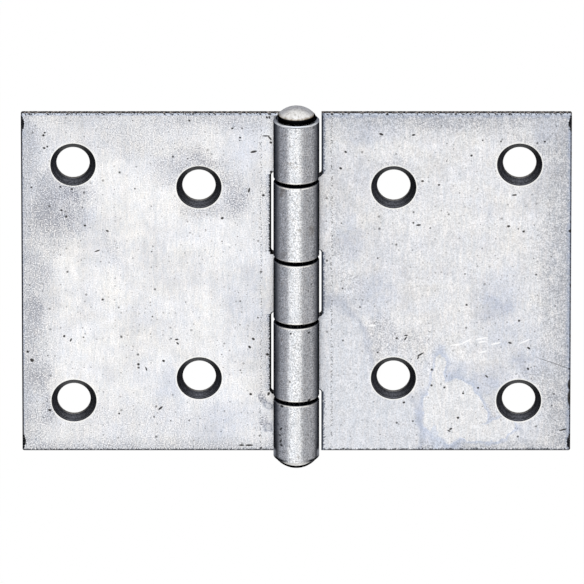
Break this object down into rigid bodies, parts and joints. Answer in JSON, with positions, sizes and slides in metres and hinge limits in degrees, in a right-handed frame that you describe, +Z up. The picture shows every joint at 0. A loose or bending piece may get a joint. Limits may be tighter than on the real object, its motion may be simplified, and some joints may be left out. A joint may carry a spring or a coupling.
{
  "type": "butt hinge",
  "caption": "Flat butt hinge of bare steel sheet: two rectangular leaves with countersunk screw holes and rolled knuckles turn on a domed pin.",
  "frame": {"origin": "on the pin's axis, at the middle of the leaves' height", "axes": "+Z up along the pin to its domed head, +X along the swinging leaf, +Y to the back that is screwed down"},
  "size_m": [0.091, 0.0076, 0.0639],
  "materials": {
    "leaf_steel": "bare cold-rolled sheet with fine rolling grain, oil stains and specks",
    "pin_steel": "cold-headed steel wire with a smooth domed head"
  },
  "bodies": {
    "fixed_side": {"fixed_leaf": "leaf_steel", "hinge_pin": "pin_steel"},
    "swinging_side": {"swinging_leaf": "leaf_steel"}
  },
  "joints": [
    {"name": "leaf_swing", "type": "hinge", "parent": "fixed_side", "child": "swinging_side", "pos_m": [0, 0, 0], "axis": [0, 0, 1], "range_deg": [-185, 95]}
  ]
}
